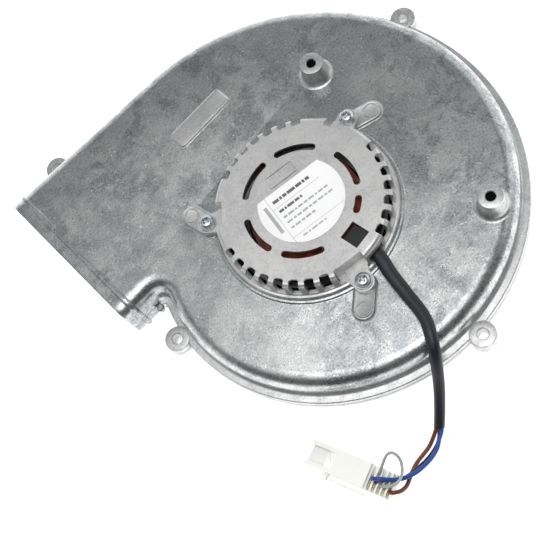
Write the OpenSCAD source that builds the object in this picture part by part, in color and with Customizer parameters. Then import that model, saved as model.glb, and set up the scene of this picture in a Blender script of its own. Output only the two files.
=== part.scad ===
/* [Volute] */
// Radius of the scroll wall at its tongue
scroll_r = 84.5; // [84:0.5:86]
// Growth of the scroll's radius, per degree round the axis
scroll_k = 0.001477; // [0.00145:0.00001:0.0015]
// Height of the flat motor-side face above the surface it lies on
face_z = 34; // [33.5:0.5:35]
// Height of the joint between the two casing halves
parting_z = 17; // [16.5:0.5:17]
// Height of the outer floor of the inlet-side half
floor_z = 4; // [4:0.5:4.5]
// Thickness of the cast walls
wall = 2.5; // [2:0.1:2.6]
// Radius of the rounded shoulders
shoulder_r = 8; // [7:0.5:8]
// Width of the flange outside the scroll wall
flange_w = 4.5; // [4:0.5:5]
/* [Outlet] */
// Distance of the outlet's end face from the rotor axis
outlet_x = 102.5; // [101:0.5:104]
// Inner side of the outlet duct, outside face
duct_near_y = 33.5; // [33:0.5:34]
// Outer side of the outlet duct at its end, outside face
duct_far_y = 133; // [132:0.5:134]
/* [Motor] */
// Radius of the round motor cover
cover_r = 45; // [44.5:0.1:45]
// Height of the motor cover above the casing face
cover_h = 13.5; // [13:0.5:14]
// Radius of the circle through the three cover screws
ear_pcr = 50.5; // [50.5:0.5:51]
// Direction of the first cover ear
ear_angle = 19.7; // [18:0.1:21]
// Outer radius of the stator core
stator_r = 30.6; // [30:0.1:30.6]
/* [Impeller] */
// Outer radius of the impeller
impeller_r = 70; // [68:0.5:71]
// Number of backward-curved blades
blade_count = 11; // [7:1:13]
/* [Hidden] */
$fn = 48;
eps = 0.02;
aluminium = "#a9abac";
bright_aluminium = "#c9cac9";
zinc = "#b9c0c4";
steel = "#8e9296";
nylon = "#eeeee6";
copper = "#8c3f22";

// the scroll is a logarithmic spiral: t is measured from the tongue, 270 is under the duct
scroll_end = 270;
scroll_start_angle = 180;
scroll_steps = 54;
tongue_fillet = 6;
tongue_y = duct_near_y - tongue_fillet;
function spiral_r(t) = scroll_r * exp(scroll_k * t);
tongue_t = -asin(tongue_y / (scroll_r + tongue_fillet));
tongue_d = spiral_r(tongue_t) + tongue_fillet;
tongue_x = -sqrt(tongue_d * tongue_d - tongue_y * tongue_y);
tongue_a = asin(tongue_y / tongue_d);
duct_top_y = spiral_r(scroll_end);
arc_steps = 6;
function polar(r, a) = [r * cos(a), r * sin(a)];
function tongue_arc(i) = [for (k = [0:arc_steps])
  let (a = 90 - (90 + tongue_a) * k / arc_steps)
  [tongue_x, tongue_y] + polar(tongue_fillet + i, a)];
function scroll_arc(i, t0) = [for (k = [1:scroll_steps])
  let (t = t0 + (scroll_end - t0) * k / scroll_steps)
  polar(spiral_r(t) - i, scroll_start_angle + t)];
// plan of the casing wall, moved inward by i, cut off at x = -x_end
function plan_outline(i, x_end) = concat([[-x_end, duct_near_y + i]], tongue_arc(i),
  scroll_arc(i, -tongue_a), [[-x_end, duct_far_y - i]]);

// a rounded shoulder is a stack of plates: inset and height of each plate's free face
shoulder_steps = 4;
function rounded_edge(i, z_wall, r, up) = [for (k = [1:shoulder_steps])
  let (a = 90 * k / shoulder_steps, mid = a - 45 / shoulder_steps)
  [i + r * (1 - cos(mid)), z_wall + up * r * sin(a)]];
// plates that start one inside another from z_base, each [inset, z] of its free face
module stack_levels(z_base, levels, x_end) {
  for (k = [0:len(levels) - 1])
    let (z1 = levels[k][1], z0 = z_base + sign(z1 - z_base) * k / 2)
      translate([0, 0, min(z0, z1)])
        linear_extrude(abs(z1 - z0)) polygon(plan_outline(levels[k][0], x_end));
}

// lugs round the flange: [x, y]
lug_places = [[112.3, 44.4], [-90.9, 9.5], [11.1, -104], [-71, 136]];
lug_r = 6.7;
lug_hole_r = 2.7;
flange_top_z = 21;
flange_bottom_z = 13;
lug_proud = 0.4;
lug_top_z = flange_top_z + lug_proud;
lug_bottom_z = flange_bottom_z - lug_proud;
seal_t = 0.5;
upper_flange_z = parting_z + seal_t / 2;
lower_flange_z = parting_z - seal_t / 2;
flange_end_x = 93;
flange_end_y = duct_top_y + 7 + flange_w - 0.5;
web_r = 5.5;
web_x = -80.5;
web_y = 28.5;
function flange_arc(i) = [for (k = [0:scroll_steps])
  let (t = -14 + (scroll_end + 14) * k / scroll_steps)
  polar(spiral_r(t) + flange_w - i, scroll_start_angle + t)];
function flange_outline(i) = concat([[-84 + i, duct_near_y + 1], [-85 + i, 28]], flange_arc(i),
  [[-flange_end_x, flange_end_y - i], [-flange_end_x, duct_far_y - 3]]);
// a lug's plan with its centre at the origin and its web towards +x
lug_steps = 16;
lug_plan = concat([[11, -0.94 * lug_r], [11, 0.94 * lug_r]],
  [for (k = [0:lug_steps]) polar(lug_r, 70 + 220 * k / lug_steps)]);
module lug_discs(z0, z1) {
  for (p = lug_places)
    translate([p[0], p[1], z0]) rotate(p[1] > 100 ? -90 : atan2(p[1], p[0]) + 180)
      linear_extrude(z1 - z0) polygon(lug_plan);
}
module lug_holes() {
  for (p = lug_places)
    translate([p[0], p[1], lug_bottom_z - 1]) cylinder(r = lug_hole_r, h = 12);
}
// section of the outlet duct, grown by g, cut at the joint between the halves
bead_x = 96.5;
bead_w = 2.3;
bead_h = 1.1;
duct_bottom_z = floor_z;
corner_steps = 5;
// outline of a rectangle with round corners, in the order of its corners
function round_rect(y0, y1, z0, z1, r) = [for (c = [0:3]) for (k = [0:corner_steps])
  let (cy = (c == 0 || c == 3) ? y1 - r : y0 + r, cz = c < 2 ? z1 - r : z0 + r)
  [cy, cz] + polar(r, 90 * c + 90 * k / corner_steps)];
module duct_section(g) {
  polygon(round_rect(duct_near_y - g, duct_far_y - 0.5 + g,
    duct_bottom_z - g, face_z + g, shoulder_r + g));
}
module duct_slab(x, w, g) {
  translate([-x, 0, 0]) rotate([90, 0, 90]) linear_extrude(w) duct_section(g);
}
module bead_band(z0, z1) {
  intersection() {
    duct_slab(bead_x, bead_w, bead_h);
    translate([-bead_x - 5, 0, z0]) cube([20, 200, z1 - z0]);
  }
}

// bosses on the casing face: [x, y]
boss_places = [[57, 51.1], [59.2, -68.5]];
boss_h = 11.2;
boss_hole_r = 2.5;
boss_hole_depth = 11;
boss_mouth_z = face_z + boss_h;
module boss(p) {
  translate([p[0], p[1], face_z - 1]) {
    cylinder(r = 6.2, h = boss_h + 1);
    cylinder(r1 = 9.2, r2 = 6, h = 4);
  }
}
// racetrack pads under the cover's ears; local x points away from the axis
pad_turn = -39.8;
pad_len = 12.5;
pad_h = 1.2;
pad_r = 5;
pad_top_z = face_z + pad_h;
module at_ear(k) {
  rotate(ear_angle + 120 * k) translate([ear_pcr, 0, 0]) children();
}
module ear_pad() {
  translate([0, 0, face_z - 1]) rotate(pad_turn) {
    cylinder(r = pad_r, h = pad_h + 1);
    translate([pad_len, 0, 0]) cylinder(r = pad_r, h = pad_h + 1);
    translate([0, -0.98 * pad_r, 0]) cube([pad_len, 1.96 * pad_r, pad_h + 1]);
  }
}
ear_screw_r = 2;
ear_screw_tip_z = face_z - 5;
ear_post_z = ear_screw_tip_z - 1.4;
opening_r = 41;
module volute_casing() {
  color(aluminium) difference() {
    union() {
      stack_levels(upper_flange_z, concat([[0, face_z - shoulder_r]],
        rounded_edge(0, face_z - shoulder_r, shoulder_r, 1)), outlet_x);
      translate([0, 0, upper_flange_z])
        linear_extrude(flange_top_z - upper_flange_z) polygon(flange_outline(0));
      lug_discs(upper_flange_z + 0.2, lug_top_z);
      translate([web_x, web_y, upper_flange_z + 0.1])
        cylinder(r = web_r, h = flange_top_z - upper_flange_z - 0.3);
      bead_band(upper_flange_z + 0.1, face_z + 3);
      for (p = boss_places) boss(p);
      for (k = [0:2]) at_ear(k) {
        ear_pad();
        translate([0, 0, ear_post_z]) cylinder(r = 4.2, h = face_z - ear_post_z);
      }
      translate([0, 0, face_z - 1]) cylinder(r = 48.6, h = 1.8, $fn = 96);
      translate([-17.4, 77.5, face_z - 1]) cube([35, 11, 1.7]);
    }
    difference() {
      stack_levels(upper_flange_z - 5, concat([[wall, face_z - shoulder_r]],
        rounded_edge(wall, face_z - shoulder_r, shoulder_r - wall, 1)), outlet_x + 5);
      for (k = [0:2]) at_ear(k)
        translate([0, 0, ear_post_z]) cylinder(r = 4.2, h = 20);
    }
    translate([0, 0, face_z - 10]) cylinder(r = opening_r, h = 20, $fn = 96);
    for (k = [0:2]) at_ear(k)
      translate([0, 0, ear_screw_tip_z]) cylinder(r = ear_screw_r, h = 20);
    for (p = boss_places)
      translate([p[0], p[1], boss_mouth_z - boss_hole_depth])
        cylinder(r = boss_hole_r, h = boss_hole_depth + 1);
    lug_holes();
    for (a = screw_angles) at_flange(a)
      translate([0, 0, parting_z - 1]) cylinder(r = screw_core_r, h = screw_tip_z - parting_z + 1);
  }
}
// thread-forming screws that hold the halves together, from below
screw_angles = [35, 95, 160, 215, 262];
screw_core_r = 1.2;
screw_tip_z = flange_top_z - 1.2;
screw_seat_z = flange_bottom_z + 0.3;
module at_flange(t) {
  rotate(scroll_start_angle + t) translate([spiral_r(t) + 1.9, 0, 0]) children();
}
inlet_r = 47.5;
module base_casing() {
  color(aluminium) difference() {
    union() {
      stack_levels(lower_flange_z, concat([[0, floor_z + shoulder_r]],
        rounded_edge(0, floor_z + shoulder_r, shoulder_r, -1)), outlet_x);
      translate([0, 0, flange_bottom_z])
        linear_extrude(lower_flange_z - flange_bottom_z) polygon(flange_outline(0));
      lug_discs(lug_bottom_z, lower_flange_z - 0.2);
      translate([web_x, web_y, flange_bottom_z + 0.2])
        cylinder(r = web_r, h = lower_flange_z - flange_bottom_z - 0.3);
      translate([-86, 31.5, flange_bottom_z + 0.4])
        cylinder(r = 2, h = lower_flange_z - flange_bottom_z - 0.7);
      bead_band(duct_bottom_z - 2, lower_flange_z - 0.1);
      cylinder(r = 56, h = floor_z + 1, $fn = 96);
    }
    stack_levels(lower_flange_z + 5, concat([[wall, floor_z + shoulder_r]],
      rounded_edge(wall, floor_z + shoulder_r, shoulder_r - wall, -1)), outlet_x + 5);
    translate([0, 0, -1]) cylinder(r = inlet_r, h = 12, $fn = 96);
    lug_holes();
    for (a = screw_angles) at_flange(a) {
      translate([0, 0, flange_bottom_z - 1]) cylinder(r = 1.6, h = 9);
      translate([0, 0, screw_seat_z - 5]) cylinder(r = 2.8, h = 5);
    }
  }
}
module casing_seal() {
  color("#3a3a3c") translate([0, 0, lower_flange_z]) difference() {
    linear_extrude(seal_t) polygon(plan_outline(-1.2, outlet_x));
    translate([0, 0, -1]) linear_extrude(3) polygon(plan_outline(wall, outlet_x + 5));
    for (a = screw_angles) at_flange(a) translate([0, 0, -1]) cylinder(r = 1.6, h = 3);
  }
}
module casing_screws() {
  color(zinc) for (a = screw_angles) at_flange(a) {
    translate([0, 0, screw_seat_z - 0.5])
      cylinder(r = screw_core_r, h = screw_tip_z - screw_seat_z + 0.5);
    difference() {
      translate([0, 0, screw_seat_z - 1.9]) cylinder(r = 2.6, h = 1.9);
      translate([0, 0, screw_seat_z - 3]) cylinder(r = 1.2, h = 2, $fn = 6);
    }
  }
}
// bell-mouthed ring pressed into the inlet; its bore is the flue or air connection
nozzle_r = 42;
nozzle_top_z = 10.5;
module inlet_nozzle() {
  color(bright_aluminium) rotate_extrude($fn = 96) polygon([[nozzle_r, 0], [inlet_r, 0],
    [inlet_r, 6], [nozzle_r + 3, 6], [nozzle_r + 2, nozzle_top_z], [nozzle_r + 1, nozzle_top_z],
    [nozzle_r, nozzle_top_z - 2]]);
}

// motor cover: a cast cap with three ears
cover_base_z = face_z + 1.6;
cover_top_z = face_z + cover_h;
cover_wall = 2;
cover_edge_r = 2.6;
ear_top_z = face_z + 5.6;
slot_r = 28.5;
slot_w = 3.5;
slot_from_ear = 14.2;
slot_to_ear = 51;
notch_pitch = 10.2;
notch_w = 4.8;
notch_in_r = 40.8;
notch_floor_z = face_z + 3.2;
cable_angle = -83;
module arc_slot(a0, a1) {
  rotate(a0) rotate_extrude(angle = a1 - a0, $fn = 96)
    translate([slot_r - slot_w / 2, 0]) square([slot_w, 8]);
  for (a = [a0, a1]) rotate(a) translate([slot_r, 0, 0])
    cylinder(r = slot_w / 2 - 0.03, h = 8, $fn = 24);
}
module cover_notch(a) {
  rotate(a) translate([notch_in_r, -notch_w / 2, notch_floor_z]) cube([8, notch_w, 20]);
}
module cover_slots() {
  translate([0, 0, cover_top_z - 5]) {
    for (a = [0, 120, 240]) if (a != 240)
      arc_slot(ear_angle + a + slot_from_ear, ear_angle + a + slot_to_ear);
    arc_slot(ear_angle + 240 + 39, ear_angle + 240 + slot_to_ear);
    for (a = [0, 120, 240])
      arc_slot(ear_angle + a - slot_to_ear, ear_angle + a - slot_from_ear);
  }
}
module cover_notches() {
  for (a = [60, 180, 300], k = [-3:3]) cover_notch(ear_angle + a + k * notch_pitch);
  for (k = [4:5]) cover_notch(ear_angle + 180 + k * notch_pitch);
}
edge_steps = 4;
cover_profile = concat([[cover_r - cover_wall, cover_base_z], [cover_r + 1.6, cover_base_z],
  [cover_r + 1.6, cover_base_z + 1], [cover_r, cover_base_z + 1]],
  [for (k = [0:edge_steps]) [cover_r - cover_edge_r, cover_top_z - cover_edge_r]
    + polar(cover_edge_r, 90 * k / edge_steps)],
  [[0, cover_top_z], [0, cover_top_z - cover_wall],
   [cover_r - cover_wall, cover_top_z - cover_wall]]);
recess_x = -10.1;
recess_w = 14;
ear_hole_r = 2.3;
// solid corners that carry the ears, each with a recess above the ear for the screwdriver
module ear_corners() {
  intersection() {
    translate([0, 0, cover_base_z + 0.3]) cylinder(r = cover_r - 0.5, h = cover_h - 4, $fn = 96);
    for (k = [0:2]) at_ear(k) translate([recess_x - 2, -recess_w / 2 - 1.6, face_z])
      cube([8, recess_w + 3.2, 20]);
  }
}
module ear_foot() {
  translate([0, 0, pad_top_z]) cylinder(r = 5.2, h = ear_top_z - pad_top_z);
  translate([-7, -4.9, cover_base_z + 0.15]) cube([7, 9.8, ear_top_z - cover_base_z - 0.35]);
}
module motor_cover() {
  color("#c4c6c6") difference() {
    union() {
      difference() {
        union() {
          rotate_extrude($fn = 96) polygon(cover_profile);
          ear_corners();
          rotate(40) translate([44, -6.8, cover_base_z + 0.2]) cube([4.4, 13.6, 3]);
        }
        for (k = [0:2]) at_ear(k)
          translate([recess_x, -recess_w / 2, ear_top_z]) cube([20, recess_w, 20]);
      }
      for (k = [0:2]) at_ear(k) ear_foot();
    }
    cover_slots();
    cover_notches();
    rotate(cable_angle) translate([28.5, -4.9, cover_top_z - 5]) cube([10, 9.8, 8]);
    rotate(cable_angle) translate([39, -4.9, face_z + 2.2]) cube([12, 9.8, 6.2]);
    for (k = [0:2]) at_ear(k) translate([0, 0, face_z]) cylinder(r = ear_hole_r, h = 12);
  }
}
module cover_gasket() {
  color("#2d2d2f") translate([0, 0, face_z + 0.8]) difference() {
    cylinder(r = 45.2, h = 0.8, $fn = 96);
    translate([0, 0, -1]) cylinder(r = opening_r, h = 3, $fn = 96);
  }
}
label_r = 22;
label_chord = 12.5;
module rating_label() {
  color("white") translate([0, 0, cover_top_z]) difference() {
    cylinder(r = label_r, h = 0.15, $fn = 96);
    rotate(ear_angle + 60) translate([label_chord, -30, -1]) cube([20, 60, 3]);
  }
}
washer_h = 1;
module cover_washers() {
  color(zinc) for (k = [0:2]) at_ear(k) translate([0, 0, ear_top_z]) difference() {
    cylinder(r = 4.5, h = washer_h);
    translate([0, 0, -1]) cylinder(r = 2.15, h = 3);
  }
}
module cover_screws() {
  head_z = ear_top_z + washer_h;
  color(zinc) for (k = [0:2]) at_ear(k) {
    translate([0, 0, ear_screw_tip_z]) cylinder(r = ear_screw_r, h = head_z - ear_screw_tip_z + 1);
    difference() {
      translate([0, 0, head_z]) intersection() {
        cylinder(r = 3.9, h = 2.7);
        translate([0, 0, -3.2]) sphere(r = 5.9);
      }
      for (a = [0, 90]) rotate(a)
        translate([-2.2, -0.45, head_z + 1.1]) cube([4.4, 0.9, 3]);
    }
  }
}

// motor inside: external rotor on a shaft in two ball bearings
tube_in_r = 9.5;
tube_out_r = 11.5;
tube_low_z = 14;
tube_top_z = cover_top_z - cover_wall;
shaft_r = 3;
bearing_w = 6;
upper_bearing_z = 36;
lower_bearing_z = 15.5;
ball_r = 1.5;
ball_pitch_r = 6.25;
groove_r = ball_r + 0.05;
inner_race_r = 5.3;
outer_race_r = 7.2;
ball_count = 7;
stator_z = 17;
stator_h = 14;
slot_count = 8;
module bearing_tube() {
  color(aluminium) difference() {
    union() {
      translate([0, 0, tube_low_z]) cylinder(r = tube_out_r, h = tube_top_z - tube_low_z);
      translate([0, 0, tube_top_z - 2]) cylinder(r = 20, h = 2);
    }
    translate([0, 0, tube_low_z - 1]) cylinder(r = 8.5, h = 26);
    translate([0, 0, tube_low_z - 1]) cylinder(r = tube_in_r, h = 8.5);
    translate([0, 0, upper_bearing_z]) cylinder(r = tube_in_r, h = 7.5);
  }
}
module stator_core() {
  color(steel) translate([0, 0, stator_z]) difference() {
    cylinder(r = stator_r, h = stator_h, $fn = 96);
    translate([0, 0, -1]) cylinder(r = tube_out_r, h = stator_h + 2);
    for (k = [0:slot_count - 1]) rotate(k * 360 / slot_count) {
      translate([22.5, 0, -1]) cylinder(r = 4.2, h = stator_h + 2, $fn = 24);
      translate([24, -1, -1]) cube([8, 2, stator_h + 2]);
    }
  }
}
module insulator(z, h) {
  color("#e9e4d2") translate([0, 0, z]) difference() {
    cylinder(r = 29.6, h = h, $fn = 96);
    translate([0, 0, -1]) cylinder(r = tube_out_r, h = h + 2);
    for (k = [0:slot_count - 1]) rotate(k * 360 / slot_count)
      translate([22.5, 0, -1]) cylinder(r = 3.8, h = h + 2, $fn = 24);
  }
}
insulator_h = 1;
module upper_insulator() { insulator(stator_z + stator_h, insulator_h); }
module lower_insulator() { insulator(stator_z - insulator_h, insulator_h); }
module winding(z, h) {
  color(copper) translate([0, 0, z]) rotate_extrude($fn = 96) {
    translate([17, 0]) square([12, h]);
    translate([18.5, h]) square([9, 1]);
  }
}
winding_h = 7.5;
module upper_winding() { winding(stator_z + stator_h + insulator_h, winding_h); }
module lower_winding() { mirror([0, 0, 1]) winding(-(stator_z - insulator_h), 2); }
module thermal_cutout() {
  color("#d8d2c0") rotate(255) translate([19.5, -4, stator_z + stator_h + insulator_h + winding_h + 1])
    cube([6, 8, 2.4]);
}
module cable_clamp() {
  color("#26282a") rotate(cable_angle) difference() {
    union() {
      translate([33.5, -4.6, face_z + 1.8]) cube([5, 9.2, 8]);
      translate([28.9, -4.6, face_z + 7.6]) cube([5, 9.2, 3.1]);
      translate([32.5, -6.2, tube_top_z - 2]) cube([5.3, 12.4, 2]);
    }
    translate([33, -3.9, face_z + 2.6]) cube([7, 7.8, 5]);
  }
}
module outer_race(z) {
  color(steel) translate([0, 0, z]) rotate_extrude($fn = 96) difference() {
    translate([outer_race_r, 0]) square([tube_in_r - outer_race_r, bearing_w]);
    translate([ball_pitch_r, bearing_w / 2]) circle(r = groove_r);
  }
}
module inner_race(z) {
  color(steel) translate([0, 0, z]) rotate_extrude($fn = 96) difference() {
    translate([shaft_r, 0]) square([inner_race_r - shaft_r, bearing_w]);
    translate([ball_pitch_r, bearing_w / 2]) circle(r = groove_r);
  }
}
module ball_set(z) {
  color("silver") translate([0, 0, z + bearing_w / 2]) {
    for (k = [0:ball_count - 1]) rotate(k * 360 / ball_count)
      translate([ball_pitch_r, 0, 0]) sphere(r = ball_r, $fn = 24);
    difference() {
      translate([0, 0, -0.5]) cylinder(r = 6.6, h = 1);
      translate([0, 0, -1]) cylinder(r = 5.9, h = 2);
      for (k = [0:ball_count - 1]) rotate(k * 360 / ball_count)
        translate([ball_pitch_r, 0, 0]) sphere(r = ball_r - 0.05, $fn = 24);
    }
  }
}
module upper_outer_race() { outer_race(upper_bearing_z); }
module lower_outer_race() { outer_race(lower_bearing_z); }
module upper_inner_race() { inner_race(upper_bearing_z); }
module lower_inner_race() { inner_race(lower_bearing_z); }
module upper_ball_set() { ball_set(upper_bearing_z); }
module lower_ball_set() { ball_set(lower_bearing_z); }
module preload_washer() {
  color(steel) translate([0, 0, upper_bearing_z + bearing_w]) difference() {
    cylinder(r = 9.3, h = 1.5);
    translate([0, 0, -1]) cylinder(r = 7.4, h = 4);
  }
}
can_r = 37;
can_wall = 1.5;
can_low_z = 9;
can_top_z = 32;
rotor_in_r = stator_r + 0.4;
rotor_out_r = can_r - can_wall;
circlip_z = upper_bearing_z + bearing_w;
module shaft() {
  color(zinc) difference() {
    translate([0, 0, can_low_z + can_wall]) cylinder(r = shaft_r, h = 32.8);
    translate([0, 0, circlip_z + 0.05]) difference() {
      cylinder(r = 4, h = 0.8);
      translate([0, 0, -1]) cylinder(r = 2.6, h = 3);
    }
  }
}
module shaft_circlip() {
  color("#3b3d40") translate([0, 0, circlip_z + 0.05]) difference() {
    cylinder(r = 4.4, h = 0.8);
    translate([0, 0, -1]) cylinder(r = 2.6, h = 3);
    translate([0, -1, -1]) cube([6, 2, 3]);
  }
}
plate_z = 24;
plate_t = 1.2;
module rotor_can() {
  color("#77797b") difference() {
    rotate_extrude($fn = 96) polygon([[0, can_low_z], [can_r, can_low_z],
      [can_r, plate_z - 1.5], [can_r + 5, plate_z - 1.5], [can_r + 5, plate_z],
      [can_r, plate_z], [can_r, can_top_z], [rotor_out_r, can_top_z],
      [rotor_out_r, can_low_z + can_wall], [shaft_r + 4, can_low_z + can_wall],
      [shaft_r + 4, can_low_z + 4], [shaft_r, can_low_z + 4],
      [shaft_r, can_low_z + can_wall], [0, can_low_z + can_wall]]);
    for (k = [0:5]) rotate(k * 60)
      translate([rivet_r, 0, plate_z - 3]) cylinder(r = 1, h = 4);
  }
}
module rotor_laminations() {
  color(steel) translate([0, 0, stator_z]) rotate_extrude($fn = 96)
    translate([rotor_in_r, 0]) square([rotor_out_r - rotor_in_r, stator_h]);
}
module rotor_cage_rings() {
  color("silver") for (z = [stator_z - 2.2, stator_z + stator_h])
    translate([0, 0, z]) rotate_extrude($fn = 96)
      translate([rotor_in_r, 0]) square([rotor_out_r - rotor_in_r, z > stator_z ? 1 : 2.2]);
}
rivet_r = 39.6;
module impeller_hub_screws() {
  color(zinc) for (k = [0:5]) rotate(k * 60) {
    translate([rivet_r, 0, plate_z - 2.5]) cylinder(r = 1.8, h = 1);
    translate([rivet_r, 0, plate_z - 1.5]) cylinder(r = 1, h = 1.5 + plate_t);
    translate([rivet_r, 0, plate_z + plate_t]) cylinder(r = 1.7, h = 0.8);
  }
}
module impeller_backplate() {
  color("#a3a7aa") difference() {
    translate([0, 0, plate_z]) cylinder(r = impeller_r, h = plate_t, $fn = 96);
    translate([0, 0, plate_z - 1]) cylinder(r = can_r, h = 4, $fn = 96);
    for (k = [0:5]) rotate(k * 60)
      translate([rivet_r, 0, plate_z - 1]) cylinder(r = 1, h = 4);
  }
}
// each blade is an arc that leans back from the direction of rotation
blade_t = 1;
blade_arc_r = 34;
blade_in_r = 49.5;
blade_bottom_z = 12.2;
shroud_low_z = 11;
shroud_t = 1.2;
blade_centre = 47;
module blade() {
  intersection() {
    translate([blade_centre, -29, blade_bottom_z]) difference() {
      cylinder(r = blade_arc_r, h = plate_z - blade_bottom_z, $fn = 96);
      translate([0, 0, -1])
        cylinder(r = blade_arc_r - blade_t, h = plate_z - blade_bottom_z + 2, $fn = 96);
    }
    difference() {
      rotate([0, 0, -20]) translate([0, 0, blade_bottom_z]) rotate_extrude(angle = 75, $fn = 96)
        translate([blade_in_r, 0]) square([impeller_r - 0.6 - blade_in_r, 20]);
    }
  }
}
module impeller_blades() {
  color("#989c9f") for (k = [0:blade_count - 1]) rotate(k * 360 / blade_count) blade();
}
module impeller_shroud() {
  color("#a3a7aa") rotate_extrude($fn = 96) {
    translate([47, shroud_low_z]) square([impeller_r - 47, shroud_t]);
    translate([46.5, shroud_low_z - 2.5]) square([1.2, 2.5 + shroud_t]);
  }
}
module balance_clip() {
  color(zinc) rotate(200) translate([63, -3, plate_z + plate_t]) cube([6.5, 6, 1]);
}

// lead: flat sleeve with three wires, one jumper, and the connector they end in.
// routes run from the cover to the connector: [x, y, z]
sleeve_route = [[4.4, -36, 39.1], [5, -41, 39.1], [5.2, -45, 39.1], [4.3, -49.5, 38.8], [2.9, -54, 38.3],
  [1.6, -60, 37.8], [0.7, -65, 37.3], [-0.2, -70, 37], [-1, -75, 36.9], [-2, -80, 36.9],
  [-4, -85.5, 36.9], [-7, -90.5, 36.5], [-10, -94.8, 34.9], [-12.8, -98, 31.8], [-15.8, -101, 27],
  [-19, -103.8, 21.5], [-22.8, -106.8, 16], [-26.6, -109.6, 11.4], [-30.4, -112.4, 7.6], [-34, -115, 5]];
brown_route = [[-35.1, -114.2, 5.7], [-36.6, -114.9, 4.7], [-40, -116, 3], [-43.8, -117, 1.7],
  [-48, -117.4, 1.2], [-52, -117.7, 1.2], [-56, -118.5, 1.2], [-60, -120, 1.4], [-64.5, -122.2, 3],
  [-68.2, -122.6, 5.6], [-71.2, -121.2, 7.7], [-72.6, -119.3, 7.2]];
blue_route = [[-33.6, -116.3, 5.6], [-34.9, -117.2, 4.8], [-38.1, -118.8, 4.7], [-42, -121, 4.6],
  [-46.7, -122.2, 4.9], [-52, -122.4, 5.4], [-57.2, -121.9, 6.1], [-62, -120.4, 7.1], [-66, -118, 8.6],
  [-69, -115.2, 10.6], [-71.4, -112.6, 11.8], [-73.2, -110.2, 10.6], [-73.4, -108.7, 7.4]];
black_route = [[-33.5, -114.5, 3.8], [-34.8, -115.6, 2.6], [-38.6, -118.4, 1.6], [-42.8, -119.8, 1.4],
  [-47.7, -120.6, 2], [-52.7, -120.8, 3.1], [-57.8, -120.4, 4], [-62.6, -119.4, 5], [-66.6, -117, 6.2],
  [-69.4, -114.6, 7.9], [-71.6, -112.4, 8.9], [-73.6, -111.3, 7.4]];
jumper_route = [[-69.7, -110, 7.6], [-67.8, -109.8, 10], [-65.4, -109, 11.4], [-62.8, -108.2, 12.4],
  [-60.4, -107.8, 13], [-58.4, -108.8, 13.2], [-57.6, -111.2, 12.6], [-58.2, -114, 11.4],
  [-60, -116.6, 10.8], [-62.6, -119, 11.4], [-65.8, -120.3, 12.4], [-69.2, -119.4, 12],
  [-72, -116.6, 10.6], [-73.5, -114.1, 7.6]];
function unit(v) = v / norm(v);
function route_dir(p, k) = k == 0 ? unit(p[1] - p[0])
  : k == len(p) - 1 ? unit(p[k] - p[k - 1]) : unit(p[k + 1] - p[k - 1]);
// ring of n points round p, across direction d, w wide sideways and h high
function ring(p, d, w, h, n) = let (side = unit(cross(d, [0, 0, 1])), up = cross(side, d))
  [for (k = [0:n - 1]) p + side * (w / 2 * cos(360 * k / n)) + up * (h / 2 * sin(360 * k / n))];
module tube(route, width, height, n) {
  m = len(route);
  pts = [for (k = [0:m - 1]) each ring(route[k], route_dir(route, k), width(k), height(k), n)];
  sides = [for (j = [0:m - 2]) for (k = [0:n - 1])
    [j * n + k, j * n + (k + 1) % n, (j + 1) * n + (k + 1) % n, (j + 1) * n + k]];
  first = [for (k = [n - 1:-1:0]) k];
  last = [for (k = [0:n - 1]) (m - 1) * n + k];
  polyhedron(points = pts, faces = concat([first], sides, [last]), convexity = 8);
}
sleeve_w = 7.2;
sleeve_h = 4.2;
wire_d = 2.1;
jumper_d = 1.5;
sleeve_last = len(sleeve_route) - 1;
module cable_sleeve() {
  color("#2b2d30") tube(sleeve_route,
    function(k) sleeve_w - 2 * k / sleeve_last, function(k) sleeve_h + 0.6 * k / sleeve_last, 12);
}
module wire(route, d) { tube(route, function(k) d, function(k) d, 8); }
module brown_wire() { color("#6b3524") wire(brown_route, wire_d); }
module blue_wire() { color("#2c45b8") wire(blue_route, wire_d); }
module black_wire() { color("#1c1c20") wire(black_route, wire_d); }
module grey_jumper() { color("#b4b6b8") wire(jumper_route, jumper_d); }

// connector: a free-lying housing with five wire chambers across its end
plug_x = -85;
plug_y = -78;
plug_turn = -69.3;
plug_l = 44;
plug_w = 12.6;
plug_h = 10;
body_l = 31;
chamber_pitch = 2.55;
chamber_w = 1.75;
chamber_floor = 3.4;
module at_plug() { translate([plug_x, plug_y, 0]) rotate(plug_turn) children(); }
module connector_housing() {
  color(nylon) at_plug() difference() {
    union() {
      translate([0, -plug_w / 2, 0]) cube([body_l, plug_w, plug_h + 1]);
      translate([body_l - 1, -plug_w / 2, 0]) cube([plug_l - body_l + 1, plug_w, plug_h - 2]);
      translate([10, -plug_w / 2 - 3, 3]) cube([2.2, 3.2, 4]);
    }
    translate([1.5, -4, plug_h - 4.2]) cube([12, 8, 8]);
    translate([-1, -3.2, 2.6]) cube([9, 6.4, 2.6]);
    for (k = [0:4]) translate([body_l + 0.9 + k * chamber_pitch, -plug_w / 2 - 1, chamber_floor])
      cube([chamber_w, plug_w + 0.2, plug_h]);
  }
}
module connector_latch() {
  color(nylon) at_plug() difference() {
    translate([12.3, -plug_w / 2 - 3, 3.4]) cube([19.9, 1.5, 3.2]);
    translate([17, -plug_w / 2 - 4, 4.4]) cube([9, 3, 1.2]);
  }
}
module connector_contacts() {
  color("#c9b173") at_plug()
    for (k = [0:4]) translate([body_l + 0.9 + k * chamber_pitch, -5, chamber_floor]) {
      cube([chamber_w, 7, 0.4]);
      translate([0.2, 0, 0.4]) cube([0.3, 5, 2.4]);
      translate([chamber_w - 0.5, 0, 0.4]) cube([0.3, 5, 2.4]);
    }
}

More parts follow.
